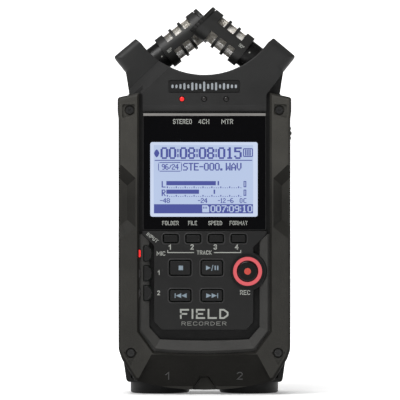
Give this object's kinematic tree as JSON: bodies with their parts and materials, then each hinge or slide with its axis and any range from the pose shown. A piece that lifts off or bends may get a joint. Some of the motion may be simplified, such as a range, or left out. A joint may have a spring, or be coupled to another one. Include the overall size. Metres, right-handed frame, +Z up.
{
  "type": "portable field recorder",
  "caption": "Handheld audio recorder with two crossed microphones on a forked yoke, a display, a keypad, a side dial, and two round input sockets on which it stands.",
  "frame": {"origin": "middle of the underside, on the surface that the two input socket rims stand on", "axes": "+Z up towards the microphones, -Y out of the display, +X to the right seen from the front"},
  "size_m": [0.073, 0.037, 0.1572],
  "materials": {
    "armour_rubber": "moulded, fine matte grain",
    "case_plastic": "fine satin texture",
    "yoke_paint": "satin soft-touch paint",
    "keypad_plastic": "fine matte",
    "button_plastic": "satin caps",
    "track_plastic": "satin caps",
    "window_acrylic": "polished, back-printed black round the display",
    "lcd": "backlit liquid crystal display",
    "trim_aluminium": "brushed strip",
    "badge_metal": "satin plate",
    "mic_metal": "satin plated",
    "mic_mesh": "woven wire mesh",
    "capsule": "metal-film capsule",
    "stub_plastic": "polished black",
    "led_lens": "clear red lens",
    "rec_ring": "translucent light ring",
    "collar_plastic": "polished black ring",
    "screw_black": "black oxide",
    "pin_steel": "ground",
    "jack_plastic": "glass-filled nylon",
    "jack_metal": "nickel plate",
    "brass": "turned",
    "board": "green solder mask",
    "switch_metal": "dome switches",
    "cell_can": "sleeved cells",
    "card": "plain card",
    "speaker_plastic": "paper cone in a plastic basket",
    "door_rubber": "fine matte grain"
  },
  "bodies": {
    "root": {"rubber_armour": "armour_rubber", "front_shell": "case_plastic", "rear_shell": "case_plastic", "keypad_plate": "keypad_plastic", "hinge_pins": "pin_steel", "rec_collar": "collar_plastic", "rec_light_ring": "rec_ring", "display_window": "window_acrylic", "lcd_panel": "lcd", "window_trim_strip": "trim_aluminium", "indicator_leds": "led_lens", "yoke_front": "yoke_paint", "yoke_rear": "yoke_paint", "yoke_badge": "badge_metal", "front_screws": "screw_black", "rear_screws": "screw_black", "cells": "cell_can", "battery_contacts": "jack_metal", "main_board": "board", "key_board": "board", "switches": "switch_metal", "tripod_bush": "brass", "mini_jacks": "jack_plastic", "speaker": "speaker_plastic", "card_socket": "jack_metal", "memory_card": "card", "usb_port": "jack_metal", "jack_1_shroud": "jack_plastic", "jack_1_nose": "jack_plastic", "jack_2_shroud": "jack_plastic", "jack_2_nose": "jack_plastic"},
    "mic_left": {"mic_left_cage": "mic_metal", "mic_left_mesh": "mic_mesh", "mic_left_capsule": "capsule", "mic_left_stub": "stub_plastic"},
    "mic_right": {"mic_right_cage": "mic_metal", "mic_right_mesh": "mic_mesh", "mic_right_capsule": "capsule", "mic_right_stub": "stub_plastic"},
    "stop_button": {"stop_button": "button_plastic"},
    "play_button": {"play_button": "button_plastic"},
    "rewind_button": {"rewind_button": "button_plastic"},
    "forward_button": {"forward_button": "button_plastic"},
    "rec_button": {"rec_button": "button_plastic"},
    "track_1_button": {"track_1_button": "track_plastic"},
    "track_2_button": {"track_2_button": "track_plastic"},
    "track_3_button": {"track_3_button": "track_plastic"},
    "track_4_button": {"track_4_button": "track_plastic"},
    "input_mic_button": {"input_mic_button": "button_plastic"},
    "input_1_button": {"input_1_button": "button_plastic"},
    "input_2_button": {"input_2_button": "button_plastic"},
    "menu_button": {"menu_button": "button_plastic"},
    "dial_carriage": {"dial_carriage": "jack_plastic"},
    "dial_wheel": {"dial_wheel": "button_plastic"},
    "rec_level_rocker": {"rec_level_rocker": "button_plastic"},
    "volume_rocker": {"volume_rocker": "button_plastic"},
    "power_switch": {"power_switch": "button_plastic"},
    "battery_cover": {"battery_cover": "case_plastic"},
    "card_door": {"card_door": "door_rubber"}
  },
  "joints": [
    {"name": "stop_button_press", "type": "slide", "parent": "root", "child": "stop_button", "axis": [0, 1, 0], "range_m": [0, 0.0006], "stiffness_N_per_m": 1500, "springref_m": -0.0002},
    {"name": "play_button_press", "type": "slide", "parent": "root", "child": "play_button", "axis": [0, 1, 0], "range_m": [0, 0.0006], "stiffness_N_per_m": 1500, "springref_m": -0.0002},
    {"name": "rewind_button_press", "type": "slide", "parent": "root", "child": "rewind_button", "axis": [0, 1, 0], "range_m": [0, 0.0006], "stiffness_N_per_m": 1500, "springref_m": -0.0002},
    {"name": "forward_button_press", "type": "slide", "parent": "root", "child": "forward_button", "axis": [0, 1, 0], "range_m": [0, 0.0006], "stiffness_N_per_m": 1500, "springref_m": -0.0002},
    {"name": "rec_button_press", "type": "slide", "parent": "root", "child": "rec_button", "axis": [0, 1, 0], "range_m": [0, 0.0006], "stiffness_N_per_m": 1500, "springref_m": -0.0002},
    {"name": "track_1_button_press", "type": "slide", "parent": "root", "child": "track_1_button", "axis": [0, 1, 0], "range_m": [0, 0.0005], "stiffness_N_per_m": 1500, "springref_m": -0.0002},
    {"name": "track_2_button_press", "type": "slide", "parent": "root", "child": "track_2_button", "axis": [0, 1, 0], "range_m": [0, 0.0005], "stiffness_N_per_m": 1500, "springref_m": -0.0002},
    {"name": "track_3_button_press", "type": "slide", "parent": "root", "child": "track_3_button", "axis": [0, 1, 0], "range_m": [0, 0.0005], "stiffness_N_per_m": 1500, "springref_m": -0.0002},
    {"name": "track_4_button_press", "type": "slide", "parent": "root", "child": "track_4_button", "axis": [0, 1, 0], "range_m": [0, 0.0005], "stiffness_N_per_m": 1500, "springref_m": -0.0002},
    {"name": "input_mic_button_press", "type": "slide", "parent": "root", "child": "input_mic_button", "axis": [0, 1, 0], "range_m": [0, 0.0005], "stiffness_N_per_m": 1500, "springref_m": -0.0002},
    {"name": "input_1_button_press", "type": "slide", "parent": "root", "child": "input_1_button", "axis": [0, 1, 0], "range_m": [0, 0.0005], "stiffness_N_per_m": 1500, "springref_m": -0.0002},
    {"name": "input_2_button_press", "type": "slide", "parent": "root", "child": "input_2_button", "axis": [0, 1, 0], "range_m": [0, 0.0005], "stiffness_N_per_m": 1500, "springref_m": -0.0002},
    {"name": "menu_button_press", "type": "slide", "parent": "root", "child": "menu_button", "axis": [-1, 0, 0], "range_m": [0, 0.0006], "stiffness_N_per_m": 1500, "springref_m": -0.0002},
    {"name": "dial_press", "type": "slide", "parent": "root", "child": "dial_carriage", "axis": [-1, 0, 0], "range_m": [0, 0.0006], "stiffness_N_per_m": 1500, "springref_m": -0.0002},
    {"name": "dial_turn", "type": "hinge", "parent": "dial_carriage", "child": "dial_wheel", "pos_m": [0.0271, 0, 0.1059], "axis": [0, 1, 0], "continuous": true},
    {"name": "rec_level_rock", "type": "hinge", "parent": "root", "child": "rec_level_rocker", "pos_m": [0.0329, -0.002, 0.072], "axis": [0, 1, 0], "range_deg": [-4, 4], "stiffness_Nm_per_rad": 0.17},
    {"name": "volume_rock", "type": "hinge", "parent": "root", "child": "volume_rocker", "pos_m": [-0.0329, -0.002, 0.062], "axis": [0, 1, 0], "range_deg": [-4, 4], "stiffness_Nm_per_rad": 0.17},
    {"name": "power_slide", "type": "slide", "parent": "root", "child": "power_switch", "axis": [0, 0, 1], "range_m": [-0.002, 0.002], "stiffness_N_per_m": 400},
    {"name": "battery_cover_slide", "type": "slide", "parent": "root", "child": "battery_cover", "axis": [0, 0, -1], "range_m": [0, 0.008]},
    {"name": "card_door_hinge", "type": "hinge", "parent": "root", "child": "card_door", "pos_m": [0.0337, 0.0036, 0.047], "axis": [0, 0, 1], "range_deg": [0, 100]},
    {"name": "mic_right_turn", "type": "hinge", "parent": "root", "child": "mic_right", "pos_m": [-0.00135, -0.0072, 0.15235], "axis": [-0.7934, 0, 0.6088], "range_deg": [0, 180]},
    {"name": "mic_left_turn", "type": "hinge", "parent": "root", "child": "mic_left", "pos_m": [0.00135, 0.0072, 0.15235], "axis": [0.7934, 0, 0.6088], "range_deg": [-180, 0]}
  ]
}
